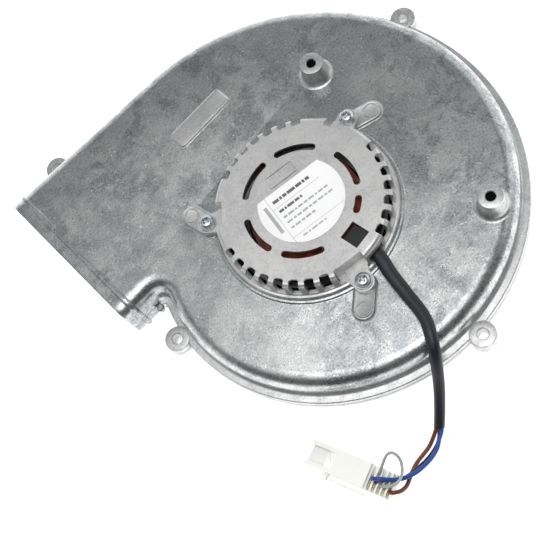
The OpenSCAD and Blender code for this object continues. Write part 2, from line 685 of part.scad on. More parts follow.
volute_casing();
base_casing();
casing_seal();
casing_screws();
inlet_nozzle();
motor_cover();
cover_gasket();
rating_label();
cover_screws();
cover_washers();
bearing_tube();
stator_core();
upper_insulator();
lower_insulator();
upper_winding();
lower_winding();
thermal_cutout();
cable_clamp();
upper_outer_race();
lower_outer_race();
upper_ball_set();
lower_ball_set();
upper_inner_race();
lower_inner_race();
preload_washer();
shaft();
shaft_circlip();
rotor_can();
rotor_laminations();
rotor_cage_rings();
impeller_hub_screws();
impeller_backplate();
impeller_blades();
impeller_shroud();
balance_clip();
cable_sleeve();
brown_wire();
blue_wire();
black_wire();
grey_jumper();
connector_housing();
connector_latch();
connector_contacts();
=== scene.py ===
import math

import bmesh
import bpy
from mathutils import Matrix, Vector
from mathutils.geometry import tessellate_polygon


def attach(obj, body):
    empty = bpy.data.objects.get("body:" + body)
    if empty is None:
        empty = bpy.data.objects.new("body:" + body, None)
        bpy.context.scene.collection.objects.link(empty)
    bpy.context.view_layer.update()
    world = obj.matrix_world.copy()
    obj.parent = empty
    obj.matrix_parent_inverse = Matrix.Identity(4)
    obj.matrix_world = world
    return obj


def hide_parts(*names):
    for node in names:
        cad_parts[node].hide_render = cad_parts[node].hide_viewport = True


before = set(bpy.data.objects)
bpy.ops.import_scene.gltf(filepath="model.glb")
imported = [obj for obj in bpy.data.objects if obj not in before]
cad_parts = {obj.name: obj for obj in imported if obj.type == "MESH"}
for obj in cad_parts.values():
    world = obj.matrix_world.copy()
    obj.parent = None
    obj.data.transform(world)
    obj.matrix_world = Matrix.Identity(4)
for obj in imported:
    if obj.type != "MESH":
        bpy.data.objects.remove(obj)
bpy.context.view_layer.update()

MM = 0.001  # one millimetre, in metres
scene = bpy.context.scene

# ---------------------------------------------------------------- camera
CAMERA_AT = (-65.7, -244.5, 532.1)
CAMERA_RIGHT = Vector((0.6896, -0.6714, -0.2712))
CAMERA_UP = Vector((0.7219, 0.6083, 0.3297))
CAMERA_LENS = 73.6
CAMERA_SENSOR = 36.0
CAMERA_NEAR = 0.01
back = CAMERA_RIGHT.cross(CAMERA_UP).normalized()
right = CAMERA_RIGHT.normalized()
up = back.cross(right)
camera_data = bpy.data.cameras.new("camera")
camera_data.sensor_width = CAMERA_SENSOR
camera_data.lens = CAMERA_LENS
camera_data.clip_start = CAMERA_NEAR
camera = bpy.data.objects.new("camera", camera_data)
camera.matrix_world = Matrix.Translation(Vector(CAMERA_AT) * MM) @ Matrix(
    (right, up, back)).transposed().to_4x4()
scene.collection.objects.link(camera)
scene.camera = camera


# ---------------------------------------------------------------- node materials
class Nodes:
    """A Principled material whose inputs are made by short calls."""

    def __init__(self, name, **values):
        self.mat = bpy.data.materials.new(name)
        self.mat.use_nodes = True
        self.tree = self.mat.node_tree
        self.shader = self.tree.nodes["Principled BSDF"]
        for key, value in values.items():
            socket = self.shader.inputs[key.replace("_", " ")]
            socket.default_value = (*value, 1.0) if isinstance(value, tuple) else value
        self.place = self.add("ShaderNodeTexCoord").outputs["Object"]

    def add(self, kind, **props):
        node = self.tree.nodes.new(kind)
        for key, value in props.items():
            setattr(node, key, value)
        return node

    def link(self, value, socket):
        if isinstance(value, bpy.types.NodeSocket):
            self.tree.links.new(value, socket)
        else:
            socket.default_value = (*value, 1.0) if isinstance(value, tuple) and len(
                value) == 3 and socket.type == "RGBA" else value

    def set(self, key, value):
        self.link(value, self.shader.inputs[key])

    def noise(self, scale, detail=3.0, rough=0.55, distort=0.0, at=None):
        node = self.add("ShaderNodeTexNoise")
        self.link(at or self.place, node.inputs["Vector"])
        for key, value in (("Scale", scale), ("Detail", detail), ("Roughness", rough),
                           ("Distortion", distort)):
            node.inputs[key].default_value = value
        return node.outputs["Fac"]

    def cells(self, scale, feature="F1"):
        node = self.add("ShaderNodeTexVoronoi", feature=feature)
        self.link(self.place, node.inputs["Vector"])
        node.inputs["Scale"].default_value = scale
        return node.outputs["Distance"]

    def stretched(self, scale, turn=0.0):
        node = self.add("ShaderNodeMapping")
        self.link(self.place, node.inputs["Vector"])
        node.inputs["Scale"].default_value = scale
        node.inputs["Rotation"].default_value = (0.0, 0.0, turn)
        return node.outputs["Vector"]

    def ramp(self, value, low, high, to_low=0.0, to_high=1.0):
        node = self.add("ShaderNodeMapRange", interpolation_type="SMOOTHSTEP")
        for key, v in (("Value", value), ("From Min", low), ("From Max", high),
                       ("To Min", to_low), ("To Max", to_high)):
            self.link(v, node.inputs[key])
        return node.outputs["Result"]

    def math(self, op, a, b=0.0):
        node = self.add("ShaderNodeMath", operation=op)
        self.link(a, node.inputs[0])
        self.link(b, node.inputs[1])
        return node.outputs["Value"]

    def mix(self, fac, a, b):
        node = self.add("ShaderNodeMix", data_type="RGBA")
        self.link(fac, node.inputs[0])
        self.link(a, node.inputs[6])
        self.link(b, node.inputs[7])
        return node.outputs[2]

    def bump(self, height, strength, distance, below=None):
        node = self.add("ShaderNodeBump")
        node.inputs["Strength"].default_value = strength
        node.inputs["Distance"].default_value = distance
        self.link(height, node.inputs["Height"])
        if below is not None:
            self.link(below, node.inputs["Normal"])
        return node.outputs["Normal"]

    def edge_rub_and_highlight(self, low, high):
        """Grows with how convex the surface is: rubbed edges and a painted edge highlight."""
        node = self.add("ShaderNodeNewGeometry")
        return self.ramp(node.outputs["Pointiness"], low, high)


def cast_metal(name, dark, light, stain, rough, grain, blotch, rubbed_and_lit_edges=False):
    """Raw casting: swirls of stain, a grainy skin, bright flecks and thin scratches."""
    n = Nodes(name, Metallic=0.92)
    big = n.noise(26.0, 4.0, 0.6, 0.6)
    mid = n.noise(120.0, 6.0, 0.70, 0.4)
    fine = n.noise(1000.0, 3.0, 0.7)
    cloud = n.math("ADD", n.math("MULTIPLY", big, 0.42), n.math("MULTIPLY", mid, 0.58))
    tone = n.mix(n.ramp(cloud, 0.40, 0.58), dark, light)
    swirl = n.ramp(n.noise(70.0, 8.0, 0.80, 0.5), 0.46, 0.57)
    where = n.ramp(n.noise(15.0, 3.0, 0.6, 0.8), 0.40, 0.60)
    tone = n.mix(n.math("MULTIPLY", n.math("MULTIPLY", swirl, where), blotch), tone, stain)
    tone = n.mix(n.ramp(fine, 0.40, 0.62, 0.0, 0.34 * grain), tone,
                 tuple(min(1.0, 1.4 * c) for c in light))
    tone = n.mix(n.ramp(fine, 0.46, 0.30, 0.0, 0.60 * grain), tone,
                 tuple(0.40 * c for c in dark))
    flecks = n.math("MULTIPLY", n.ramp(n.cells(430.0), 0.24, 0.12),
                    n.ramp(n.noise(170.0, 2.0, 0.5), 0.54, 0.60))
    tone = n.mix(n.math("MULTIPLY", flecks, 0.85 * grain), tone, (0.96, 0.97, 0.96))
    # Convex edges lighter: rubbed metal and a painted edge highlight.
    if rubbed_and_lit_edges:
        tone = n.mix(n.edge_rub_and_highlight(0.57, 0.66), tone, tuple(min(1.0, 1.45 * c) for c in light))
    along = n.noise(1.0, 2.0, 0.5, 0.0, n.stretched((260.0, 9.0, 60.0), 0.7))
    across = n.noise(1.0, 2.0, 0.5, 0.0, n.stretched((8.0, 300.0, 60.0), -0.35))
    scratch = n.ramp(along, 0.70, 0.76)
    other = n.ramp(across, 0.71, 0.77)
    marks = n.math("MAXIMUM", scratch, other)
    tone = n.mix(n.math("MULTIPLY", marks, 0.30), tone, tuple(min(1.0, 1.5 * c) for c in light))
    n.set("Base Color", tone)
    n.set("Roughness", n.ramp(mid, 0.3, 0.7, rough + 0.06, rough - 0.06))
    soft = n.bump(big, 0.25, 0.0010)
    soft = n.bump(mid, 0.18, 0.0003, soft)
    n.set("Normal", n.bump(fine, 0.60 * grain, 0.00012, soft))
    return n.mat


def turned_metal(name, colour, rough, streak):
    """Plated, ground, drawn or sheet metal with fine directional streaks."""
    n = Nodes(name, Metallic=1.0)
    fine = n.noise(1.0, 3.0, 0.6, 0.0, n.stretched((streak, streak, 60.0)))
    spots = n.noise(420.0, 3.0, 0.6)
    n.set("Base Color", n.mix(n.ramp(spots, 0.35, 0.7), colour, tuple(0.72 * c for c in colour)))
    n.set("Roughness", n.ramp(fine, 0.3, 0.7, rough - 0.05, rough + 0.10))
    n.set("Normal", n.bump(fine, 0.10, 0.00001))
    return n.mat


def moulded(name, colour, rough, texture=900.0, depth=0.3, gloss=0.5, clear=0.0, shade=0.86):
    """Plastic, rubber, film or ink: any skin that isn't metal, and the dark liner of a bore."""
    n = Nodes(name, Specular_IOR_Level=gloss, Coat_Weight=clear, Coat_Roughness=0.25)
    cloud = n.noise(60.0, 3.0, 0.6)
    fine = n.noise(texture, 3.0, 0.6)
    n.set("Base Color", n.mix(n.ramp(cloud, 0.3, 0.7), tuple(shade * c for c in colour), colour))
    n.set("Roughness", n.ramp(fine, 0.3, 0.7, rough - 0.05, rough + 0.06))
    n.set("Normal", n.bump(fine, depth, 0.00005))
    return n.mat


def wound_copper(name):
    """Lacquered copper wire, wound round in fine turns."""
    n = Nodes(name, Metallic=0.55, Coat_Weight=0.5, Coat_Roughness=0.2)
    wave = n.add("ShaderNodeTexWave", wave_type="RINGS", rings_direction="Z")
    n.link(n.place, wave.inputs["Vector"])
    for key, value in (("Scale", 1150.0), ("Distortion", 1.2), ("Detail", 2.0),
                       ("Detail Scale", 0.6)):
        wave.inputs[key].default_value = value
    n.set("Base Color", n.mix(n.ramp(n.noise(260.0), 0.35, 0.65), (0.22, 0.035, 0.014),
                              (0.48, 0.10, 0.035)))
    n.set("Roughness", 0.34)
    n.set("Normal", n.bump(wave.outputs["Fac"], 0.8, 0.0003))
    return n.mat


CAST = cast_metal("cast_skin", (0.37, 0.385, 0.40), (0.60, 0.61, 0.605), (0.17, 0.19, 0.21),
                  0.29, 1.0, 0.72, rubbed_and_lit_edges=True)
BLAST = cast_metal("blasted_cover", (0.60, 0.605, 0.60), (0.74, 0.74, 0.73),
                   (0.46, 0.46, 0.46), 0.44, 0.45, 0.25)
PLATE = cast_metal("plate_skin", (0.48, 0.49, 0.49), (0.62, 0.62, 0.615), (0.36, 0.37, 0.37),
                   0.42, 0.6, 0.2, rubbed_and_lit_edges=True)
RIM = cast_metal("rim_skin", (0.52, 0.53, 0.53), (0.66, 0.665, 0.66), (0.36, 0.37, 0.375),
                 0.38, 0.8, 0.35)
# The bores and the inner steel are darker than bare metal, to show the shadow they lie in.
BORE = moulded("bore_skin", (0.03, 0.03, 0.032), 0.2)
WHITE_SHADED = moulded("white_nylon_shaded", (0.84, 0.84, 0.82), 0.5)
SHEET_ALU = turned_metal("sheet_aluminium", (0.70, 0.71, 0.72), 0.36, 900.0)
ZINC = turned_metal("zinc_plate", (0.78, 0.80, 0.83), 0.26, 600.0)
STEEL = turned_metal("ground_steel", (0.52, 0.53, 0.55), 0.28, 1400.0)
# Painted shade: the laminated steel and the drawn steel are darkened for the shade inside the
# motor.
LAMINATED = turned_metal("laminated_steel", (0.05, 0.05, 0.055), 0.55, 700.0)
DARK_SHADED_STEEL = turned_metal("drawn_steel", (0.07, 0.07, 0.075), 0.45, 500.0)
BRASS = turned_metal("tinned_brass", (0.68, 0.62, 0.47), 0.30, 900.0)
RUBBER = moulded("black_rubber", (0.005, 0.005, 0.006), 0.75, gloss=0.1)
BLACK = moulded("black_moulding", (0.022, 0.023, 0.025), 0.45, gloss=0.35)
NYLON = moulded("natural_nylon", (0.62, 0.57, 0.44), 0.46, 700.0)
WHITE = moulded("white_nylon", (0.95, 0.95, 0.90), 0.36, 500.0, 0.15, clear=0.1, shade=0.96)
SLEEVE = moulded("sleeve", (0.013, 0.014, 0.018), 0.40, 1400.0, 0.35)
BROWN = moulded("brown_wire", (0.16, 0.045, 0.022), 0.32, 800.0, 0.15)
BLUE = moulded("blue_wire", (0.016, 0.065, 0.34), 0.30, 800.0, 0.15)
BLACK_WIRE = moulded("black_wire", (0.010, 0.010, 0.013), 0.30, 800.0, 0.15)
GREY_WIRE = moulded("grey_wire", (0.42, 0.43, 0.44), 0.34, 800.0, 0.15)
LABEL = moulded("label_film", (0.95, 0.95, 0.95), 0.32, 300.0, 0.02, shade=0.97)
INK = moulded("label_ink", (0.14, 0.14, 0.15), 0.40, 300.0, 0.05)
INK_PALE = moulded("label_pale_ink", (0.46, 0.46, 0.47), 0.40, 300.0, 0.05)
SEAL_CORD = moulded("seal_cord", (0.08, 0.08, 0.082), 0.60, gloss=0.3)
COPPER = wound_copper("wound_copper")


# ---------------------------------------------------------------- mesh helpers
def polar(r, degrees):
    a = math.radians(degrees)
    return r * math.cos(a), r * math.sin(a)


def span(a, b, n):
    return [a + (b - a) * k / n for k in range(n + 1)]


class Shape:
    """Points in millimetres and faces; made into one object at the end."""

    def __init__(self):
        self.verts, self.faces = [], []

    def points(self, pts):
        start = len(self.verts)
        self.verts += [tuple(p) for p in pts]
        return list(range(start, len(self.verts)))

    def grid(self, rows, closed=False, looped=False):
        """Quads between rows; closed joins a row's ends, looped the last row to the first."""
        ids = [self.points(r) for r in rows]
        pairs = list(zip(ids, ids[1:])) + ([(ids[-1], ids[0])] if looped else [])
        for a, b in pairs:
            m = len(a)
            for k in range(m if closed else m - 1):
                self.faces.append((a[k], a[(k + 1) % m], b[(k + 1) % m], b[k]))
        return self

    def cap(self, *loops):
        """A flat face with holes."""
        ids = [i for loop in loops for i in self.points(loop)]
        for tri in tessellate_polygon([[Vector(p) for p in loop] for loop in loops]):
            self.faces.append(tuple(ids[i] for i in tri))
        return self

    def revolve(self, profile, at=(0.0, 0.0), n=64, looped=True, turn=0.0):
        rows = [[(at[0] + x, at[1] + y, z) for x, y in
                 (polar(r, turn + 360 * k / n) for k in range(n))] for r, z in profile]
        return self.grid(rows, closed=True, looped=looped)

    def loft(self, outlines):
        """Closed outlines joined by walls, with the first and last filled."""
        self.grid(outlines, closed=True)
        self.cap(outlines[0])
        return self.cap(outlines[-1])

    def moved(self, matrix):
        self.verts = [tuple(matrix @ Vector(p)) for p in self.verts]
        return self

    def join(self, other):
        base = len(self.verts)
        self.verts += other.verts
        self.faces += [tuple(i + base for i in f) for f in other.faces]
        return self

    def build(self, name, material, smooth=32.0):
        mesh = bpy.data.meshes.new(name)
        mesh.from_pydata([(x * MM, y * MM, z * MM) for x, y, z in self.verts], [], self.faces)
        bm = bmesh.new()
        bm.from_mesh(mesh)
        bmesh.ops.remove_doubles(bm, verts=bm.verts, dist=2e-6)
        bmesh.ops.dissolve_degenerate(bm, dist=1e-7, edges=bm.edges)
        bmesh.ops.recalc_face_normals(bm, faces=bm.faces)
        bm.to_mesh(mesh)
        bm.free()
        obj = bpy.data.objects.new(name, mesh)
        scene.collection.objects.link(obj)
        obj.data.materials.append(material)
        soften(obj, smooth)
        return obj


def soften(obj, angle):
    obj.data.shade_smooth()
    obj.data.set_sharp_from_angle(angle=math.radians(angle))


def finish_piece(obj, body, slot, *nodes):
    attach(obj, body)
    if nodes:
        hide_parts(*nodes)
    return obj


def apply_modifiers(obj):
    bpy.context.view_layer.update()
    graph = bpy.context.evaluated_depsgraph_get()
    mesh = bpy.data.meshes.new_from_object(obj.evaluated_get(graph))
    obj.modifiers.clear()
    obj.data = mesh


def cut(obj, *shapes, op="DIFFERENCE"):
    """Cuts each shape out of obj, or joins it to obj."""
    tools = [s.build("cutter", BLACK) for s in shapes]
    for tool in tools:
        mod = obj.modifiers.new("cut", "BOOLEAN")
        mod.operation, mod.solver, mod.object = op, "EXACT", tool
    apply_modifiers(obj)
    for tool in tools:
        bpy.data.objects.remove(tool)
    return obj


def bevel(obj, width, angle=35.0, segments=2, smooth=32.0):
    mod = obj.modifiers.new("edge", "BEVEL")
    mod.width, mod.segments = width * MM, segments
    mod.limit_method, mod.angle_limit = "ANGLE", math.radians(angle)
    mod.miter_outer = "MITER_ARC"
    apply_modifiers(obj)
    soften(obj, smooth)
    obj.modifiers.new("flat_faces", "WEIGHTED_NORMAL").keep_sharp = True
    return obj


def block(x0, y0, z0, x1, y1, z1):
    return Shape().loft([[(x0, y0, z), (x1, y0, z), (x1, y1, z), (x0, y1, z)] for z in (z0, z1)])


def turned(degrees, x=0.0, y=0.0, z=0.0):
    return Matrix.Rotation(math.radians(degrees), 4, "Z") @ Matrix.Translation((x, y, z))


def racetrack(length, r, n=16):
    """Outline round two centres, at the origin and at length along +x."""
    return ([polar(r, a) for a in span(90, 270, n)]
            + [(length + x, y) for x, y in (polar(r, a) for a in span(-90, 90, n))])


def rounded_box(w, h, r, n=6):
    return [(sx * (w / 2 - r) + x, sy * (h / 2 - r) + y)
            for sx, sy, a0 in ((1, 1, 0), (-1, 1, 90), (-1, -1, 180), (1, -1, 270))
            for x, y in (polar(r, a) for a in span(a0, a0 + 90, n))]


def smooth_path(route, per=6):
    """A Catmull-Rom curve through the route's points."""
    pts = [Vector(p) for p in route]
    pts = [2 * pts[0] - pts[1], *pts, 2 * pts[-1] - pts[-2]]
    out = []
    for k in range(1, len(pts) - 2):
        a, b, c, d = pts[k - 1:k + 3]
        for j in range(per):
            t = j / per
            out.append(0.5 * (2 * b + (c - a) * t + (2 * a - 5 * b + 4 * c - d) * t * t
                              + (3 * b - a - 3 * c + d) * t ** 3))
    return out + [pts[-2]]


def tube(name, path, width, height, material, sides=20, lobes=0.0):
    """A tube of elliptical section along path; width and height are functions from 0 to 1."""
    rows = []
    last = len(path) - 1
    for k, p in enumerate(path):
        along = (path[min(k + 1, last)] - path[max(k - 1, 0)]).normalized()
        side = along.cross(Vector((0, 0, 1))).normalized()
        top = side.cross(along)
        w, h = width(k / last) / 2, height(k / last) / 2
        rows.append([tuple(p + side * (w * c * (1 + lobes * math.cos(2 * a)))
                           + top * (h * s * (1 + lobes * math.cos(2 * a))))
                     for a, c, s in ((math.radians(d), *polar(1, d))
                                     for d in (360 * j / sides for j in range(sides)))])
    shape = Shape().grid(rows, closed=True)
    for row in (rows[0], rows[-1]):
        ids = shape.points(row)
        shape.faces.append(tuple(ids))
    return shape.build(name, material, 50.0)


# ---------------------------------------------------------------- lead
SLEEVE_ROUTE = [(4.4, -36, 39.1), (5, -41, 39.1), (5.2, -45, 39.1), (4.3, -49.5, 38.8),
                (2.9, -54, 38.3), (1.6, -60, 37.8), (0.7, -65, 37.3), (-0.2, -70, 37),
                (-1, -75, 36.9), (-2, -80, 36.9), (-4, -85.5, 36.9), (-7, -90.5, 36.5),
                (-10, -94.8, 34.9), (-12.8, -98, 31.8), (-15.8, -101, 27), (-19, -103.8, 21.5),
                (-22.8, -106.8, 16), (-26.6, -109.6, 11.4), (-30.4, -112.4, 7.6), (-34, -115, 5)]
BROWN_ROUTE = [(-35.1, -114.2, 5.7), (-36.6, -114.9, 4.7), (-40, -116, 3), (-43.8, -117, 1.7),
               (-48, -117.4, 1.2), (-52, -117.7, 1.2), (-56, -118.5, 1.2), (-60, -120, 1.4),
               (-64.5, -122.2, 3), (-68.2, -122.6, 5.6), (-71.2, -121.2, 7.7),
               (-72.6, -119.3, 7.2)]
BLUE_ROUTE = [(-33.6, -116.3, 5.6), (-34.9, -117.2, 4.8), (-38.1, -118.8, 4.7), (-42, -121, 4.6),
              (-46.7, -122.2, 4.9), (-52, -122.4, 5.4), (-57.2, -121.9, 6.1), (-62, -120.4, 7.1),
              (-66, -118, 8.6), (-69, -115.2, 10.6), (-71.4, -112.6, 11.8), (-73.2, -110.2, 10.6),
              (-73.4, -108.7, 7.4)]
BLACK_ROUTE = [(-33.5, -114.5, 3.8), (-34.8, -115.6, 2.6), (-38.6, -118.4, 1.6),
               (-42.8, -119.8, 1.4), (-47.7, -120.6, 2), (-52.7, -120.8, 3.1), (-57.8, -120.4, 4),
               (-62.6, -119.4, 5), (-66.6, -117, 6.2), (-69.4, -114.6, 7.9), (-71.6, -112.4, 8.9),
               (-73.6, -111.3, 7.4)]
JUMPER_ROUTE = [(-69.7, -110, 7.6), (-67.8, -109.8, 10), (-65.4, -109, 11.4),
                (-62.8, -108.2, 12.4), (-60.4, -107.8, 13), (-58.4, -108.8, 13.2),
                (-57.6, -111.2, 12.6), (-58.2, -114, 11.4), (-60, -116.6, 10.8),
                (-62.6, -119, 11.4), (-65.8, -120.3, 12.4), (-69.2, -119.4, 12),
                (-72, -116.6, 10.6), (-73.5, -114.1, 7.6)]


sleeve_path = smooth_path(SLEEVE_ROUTE, 5)
sleeve = tube("lead_sleeve", sleeve_path, lambda t: 7.2 - 2.0 * t, lambda t: 4.2 + 0.6 * t,
              SLEEVE, 28)
finish_piece(sleeve, "housing", "sleeve_vinyl", "cable_sleeve")
wires = {}
for wire_name, route, d, material, slot_name, node in (
        ("lead_brown", BROWN_ROUTE, 2.1, BROWN, "brown_insulation", "brown_wire"),
        ("lead_blue", BLUE_ROUTE, 2.1, BLUE, "blue_insulation", "blue_wire"),
        ("lead_black", BLACK_ROUTE, 2.1, BLACK_WIRE, "black_insulation", "black_wire"),
        ("lead_jumper", JUMPER_ROUTE, 1.5, GREY_WIRE, "grey_insulation", "grey_jumper")):
    wire_path = smooth_path(route, 6)
    wire = tube(wire_name, wire_path, lambda t, d=d: d, lambda t, d=d: d, material, 16)
    finish_piece(wire, "housing", slot_name, node)
    wires[wire_name] = (wire, wire_path, d)

# ---------------------------------------------------------------- carried-over CAD nodes
CAD_FINISH = {
    "casing_seal": RUBBER, "casing_screws": ZINC, "inlet_nozzle": SHEET_ALU,
    "cover_gasket": RUBBER, "bearing_tube": BLAST, "stator_core": LAMINATED,
    "upper_insulator": NYLON, "lower_insulator": NYLON, "upper_winding": COPPER,
    "lower_winding": COPPER, "thermal_cutout": NYLON, "cable_clamp": BLACK,
    "upper_outer_race": STEEL, "lower_outer_race": STEEL, "upper_ball_set": STEEL,
    "lower_ball_set": STEEL, "upper_inner_race": STEEL, "lower_inner_race": STEEL,
    "preload_washer": STEEL, "shaft": STEEL, "shaft_circlip": DARK_SHADED_STEEL,
    "rotor_can": DARK_SHADED_STEEL, "rotor_laminations": LAMINATED, "rotor_cage_rings": SHEET_ALU,
    "impeller_hub_screws": ZINC, "impeller_backplate": SHEET_ALU,
    "impeller_blades": SHEET_ALU, "impeller_shroud": SHEET_ALU, "balance_clip": ZINC,
    "connector_housing": WHITE, "connector_latch": WHITE, "connector_contacts": BRASS,
    "volute_casing": CAST, "base_casing": CAST, "motor_cover": BLAST,
    "rating_label": LABEL, "cover_screws": ZINC, "cover_washers": ZINC,
}
for node, material in CAD_FINISH.items():
    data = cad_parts[node].data
    data.materials.clear()
    data.materials.append(material)

# ---------------------------------------------------------------- casing
SCROLL_R, SCROLL_K = 84.5, 0.001477
OUTLET_X, NEAR_Y, FAR_Y = 102.5, 33.5, 133.0
SHOULDER, WALL = 8.0, 2.5
TONGUE_R = 6.0
FACE_Z, FLOOR_Z, PARTING_Z = 34.0, 4.0, 17.0
COVER_LIP_R, INLET_RING_R = 49.6, 57.0
BEAD_X = -95.35
COLLAR_FROM_X, FAR_SIDE_Y = -93.0, 100
FIRST_FLANGE_COLUMN = 14


def spiral(t):
    return SCROLL_R * math.exp(SCROLL_K * t)


TONGUE_Y = NEAR_Y - TONGUE_R
TONGUE_D = spiral(-math.degrees(math.asin(TONGUE_Y / (SCROLL_R + TONGUE_R)))) + TONGUE_R
TONGUE_X = -math.sqrt(TONGUE_D ** 2 - TONGUE_Y ** 2)
TONGUE_A = math.degrees(math.asin(TONGUE_Y / TONGUE_D))


def far_wall(x):
    return spiral(270) + (FAR_Y - spiral(270)) * (-x / OUTLET_X)


def plan_columns():
    """Round the wall: (x, y, inward x, inward y, how much the outlet's edge is rounded off)."""
    ends = [(OUTLET_X, 0.7), (OUTLET_X - 0.15, 0.3), (OUTLET_X - 0.7, 0.0)]
    near = [(-x, NEAR_Y, 0.0, 1.0, e) for x, e in ends]
    near += [(x, NEAR_Y, 0.0, 1.0, 0.0) for x in span(-OUTLET_X + 3, TONGUE_X - 1, 8)]
    tongue = [(TONGUE_X + c * TONGUE_R, TONGUE_Y + s * TONGUE_R, c, s, 0.0)
              for c, s in (polar(1, a) for a in span(90, -TONGUE_A, 22))]
    scroll = []
    for t in span(-TONGUE_A + 1.0, 270, 190):
        c, s = polar(1, 180 + t)
        scroll.append((spiral(t) * c, spiral(t) * s, -c, -s, 0.0))
    far = [(x, far_wall(x), 0.0, -1.0, 0.0) for x in span(-4, -OUTLET_X + 3, 22)]
    far += [(-x, far_wall(-x), 0.0, -1.0, e) for x, e in reversed(ends)]
    return near + tongue + scroll + far


COLUMNS = plan_columns()


def shifted(column, inset):
    return column[0] + column[2] * inset, column[1] + column[3] * inset


def wall_rows(column, z_part, z_mid, sign, inner):
    e = column[4]
    r = SHOULDER - (WALL if inner else e)
    start = WALL if inner else e
    rows = [(start, z_part), (start, (z_part + z_mid) / 2), (start, z_mid)]
    rows += [(SHOULDER - r * math.cos(a), z_mid + sign * r * math.sin(a))
             for a in (math.radians(d) for d in span(0, 90, 14)[1:])]
    return [(*shifted(column, i), z) for i, z in rows]


def half_shell(z_part, z_mid, sign, hole_r):
    """Outer skin, inner skin and the rim between them; a flat face with a round hole."""
    shape = Shape()
    outer = [wall_rows(c, z_part, z_mid, sign, False) for c in COLUMNS]
    inner = [wall_rows((*c[:4], 0.0), z_part, z_mid, sign, True) for c in COLUMNS]
    shape.grid(outer)
    shape.grid(inner)
    shape.grid([[o[0] for o in outer], [i[0] for i in inner]])
    for k in (0, -1):
        shape.grid([outer[k], inner[k]])
    shape.grid([[outer[0][-1], outer[-1][-1]], [inner[0][-1], inner[-1][-1]]])
    for k in (0, 1):
        shape.grid([[outer[k][-1], outer[-1 - k][-1]], [outer[k + 1][-1], outer[-2 - k][-1]]])
    circle = [polar(hole_r, 360 * k / 128) for k in range(128)]
    shape.cap([o[-1] for o in outer[2:-2]], [(x, y, outer[5][-1][2]) for x, y in circle])
    shape.cap([i[-1] for i in inner], [(x, y, inner[5][-1][2]) for x, y in circle])
    return shape


def flange(z0, z1, fillet_up):
    """Rim outside the wall, with a fillet on the side where the wall goes on."""
    lo, hi = (z0, z1) if fillet_up else (z1, z0)
    s = 1 if fillet_up else -1
    section = [(-0.6, lo), (4.2, lo), (4.5, lo + 0.3 * s), (4.5, hi - 0.9 * s),
               (4.35, hi - 0.4 * s), (3.95, hi - 0.08 * s), (3.4, hi), (1.5, hi),
               (0.85, hi + 0.12 * s), (0.3, hi + 0.5 * s), (0.03, hi + 1.3 * s),
               (-0.6, hi + 1.5 * s)]
    rows = []
    for c in COLUMNS[FIRST_FLANGE_COLUMN:]:
        if c[0] < COLLAR_FROM_X and c[1] > FAR_SIDE_Y:
            continue
        rows.append([(*shifted(c, -o), z) for o, z in section])
    shape = Shape().grid(rows, closed=True)
    shape.cap(rows[0])
    return shape.cap(rows[-1])


def lug(x, y, turn, z0, z1):
    disc = Shape().revolve([(2.7, z0), (2.7, z1 - 0.35), (3.05, z1), (6.0, z1), (6.4, z1 - 0.12),
                            (6.65, z1 - 0.4), (6.7, z1 - 0.8), (6.7, z0 + 0.2), (6.5, z0)],
                           n=56)
    half = [(3.2, 5.6), (5.0, 5.7), (7.5, 6.4), (10.0, 8.0), (12.0, 10.5)]
    outline = half + [(a, -b) for a, b in reversed(half)]

    def inset(points, d):
        return [(a, b - math.copysign(d, b)) for a, b in points]
    web = Shape().loft([[(a, b, z) for a, b in inset(outline, d)] for d, z in
                        ((0.3, z0 + 0.15), (0, z0 + 0.5), (0, z1 - 1.6), (0.15, z1 - 1.1),
                         (0.7, z1 - 0.75))])
    return disc.join(web).moved(Matrix.Translation((x, y, 0)) @ turned(turn))


LUGS = [(112.3, 44.4), (-90.9, 9.5), (11.1, -104.0), (-71.0, 136.0)]


def lugs(z0, z1):
    shape = Shape()
    for x, y in LUGS:
        turn = -90 if y > FAR_SIDE_Y else math.degrees(math.atan2(y, x)) + 180
        shape.join(lug(x, y, turn, z0, z1))
    return shape


